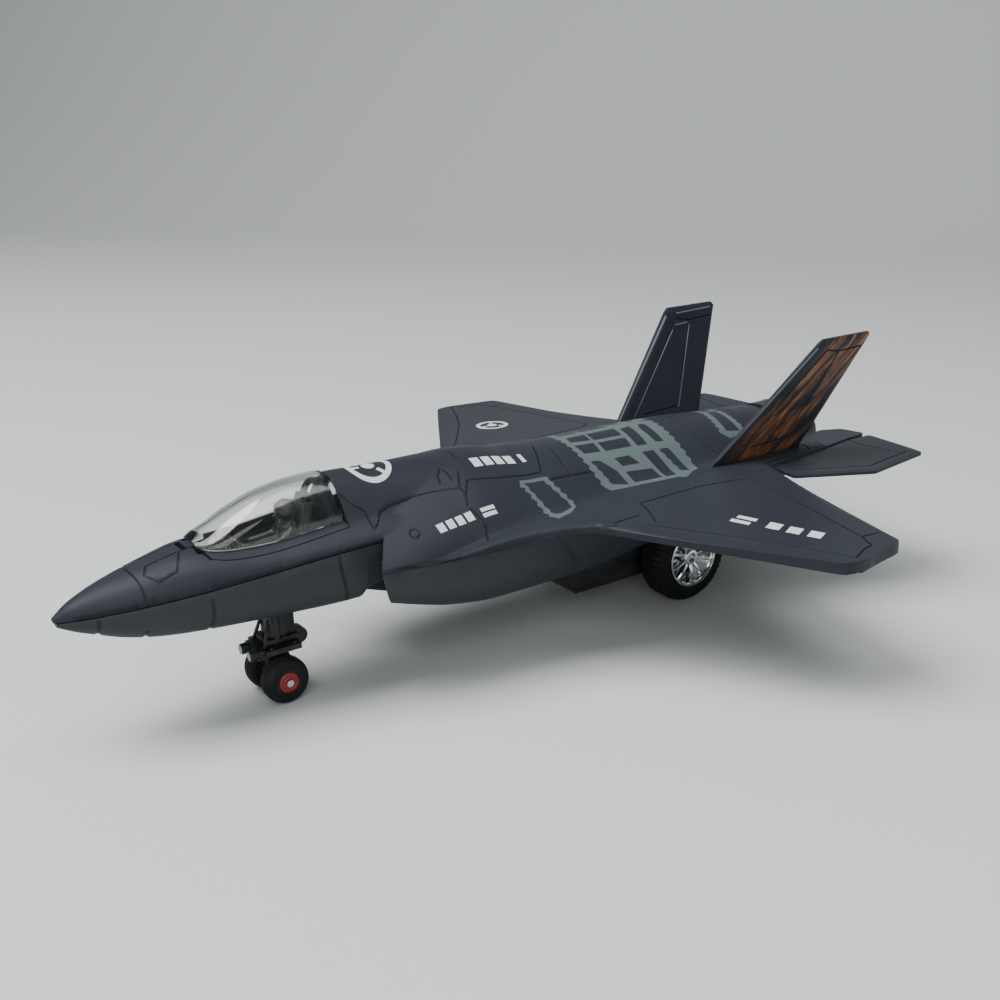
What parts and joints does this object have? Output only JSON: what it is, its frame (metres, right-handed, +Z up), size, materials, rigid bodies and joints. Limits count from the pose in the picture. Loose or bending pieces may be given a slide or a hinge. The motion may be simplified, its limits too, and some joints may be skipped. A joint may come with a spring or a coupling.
{
  "type": "toy jet airplane",
  "caption": "Toy jet fighter on wheels with swept shoulder wings, two canted fins, a clear canopy that opens on a seated pilot, and a pull-back spring motor.",
  "frame": {"origin": "bottom centre of the bounding box, on the ground under the tyres", "axes": "+X towards the left wing tip, +Y towards the tail, +Z up; the nose points along -Y"},
  "size_m": [0.1786, 0.24, 0.0734],
  "materials": {
    "shell_paint": "satin dark blue-grey paint with printed markings",
    "belly_plastic": "fine matte moulded",
    "fin_paint": "satin dark paint with printed streaks",
    "frame_plastic": "satin moulded",
    "canopy_clear": "clear polished",
    "cockpit_plastic": "grey moulded",
    "pilot_plastic": "painted figure",
    "black_plastic": "black moulded",
    "tyre_rubber": "black rubber",
    "chrome": "vacuum plated",
    "hub_red": "red moulded",
    "steel": "bright zinc plated",
    "gear_nylon": "natural nylon"
  },
  "bodies": {
    "airframe": {"upper_shell": "shell_paint", "lower_shell": "belly_plastic", "cockpit_tub": "cockpit_plastic", "pilot_seat": "cockpit_plastic", "pilot_figure": "pilot_plastic", "left_fin": "fin_paint", "right_fin": "fin_paint", "left_stabilizer": "fin_paint", "right_stabilizer": "fin_paint", "nozzle_ring": "black_plastic", "nozzle_core": "black_plastic", "nose_leg": "black_plastic", "canopy_hinge_pin": "steel", "chassis_box": "black_plastic", "gearbox_plate_left": "gear_nylon", "gearbox_plate_right": "gear_nylon", "idler_pin": "steel", "drum_pin": "steel", "belly_screw_1": "steel", "belly_screw_2": "steel", "belly_screw_3": "steel", "box_screw_1": "steel", "box_screw_2": "steel"},
    "canopy": {"canopy_frame": "frame_plastic", "canopy_glass": "canopy_clear"},
    "nose_wheels": {"nose_axle": "steel", "nose_tyre_left": "tyre_rubber", "nose_tyre_right": "tyre_rubber", "nose_hub_left": "hub_red", "nose_hub_right": "hub_red"},
    "rear_wheels": {"rear_axle": "steel", "rear_tyre_left": "tyre_rubber", "rear_tyre_right": "tyre_rubber", "rear_rim_left": "chrome", "rear_rim_right": "chrome", "axle_pinion": "gear_nylon"},
    "idler": {"idler_gear": "gear_nylon"},
    "drum": {"spring_drum": "gear_nylon", "mainspring": "steel"}
  },
  "joints": [
    {"name": "canopy_hinge", "type": "hinge", "parent": "airframe", "child": "canopy", "pos_m": [0, -0.0883, 0.0432], "axis": [1, 0, 0], "range_deg": [0, 50]},
    {"name": "nose_wheels_spin", "type": "hinge", "parent": "airframe", "child": "nose_wheels", "pos_m": [0, -0.069, 0.0059], "axis": [1, 0, 0], "continuous": true},
    {"name": "rear_wheels_spin", "type": "hinge", "parent": "airframe", "child": "rear_wheels", "pos_m": [0, 0.0515, 0.0132], "axis": [1, 0, 0], "continuous": true},
    {"name": "idler_spin", "type": "hinge", "parent": "airframe", "child": "idler", "pos_m": [0, 0.04175, 0.02003], "axis": [1, 0, 0], "continuous": true},
    {"name": "drum_spin", "type": "hinge", "parent": "airframe", "child": "drum", "pos_m": [0, 0.02865, 0.02234], "axis": [1, 0, 0], "continuous": true}
  ],
  "couplings": [
    {"joint": "idler_spin", "follows": "rear_wheels_spin", "ratio": -0.41667},
    {"joint": "drum_spin", "follows": "rear_wheels_spin", "ratio": 0.14881}
  ]
}
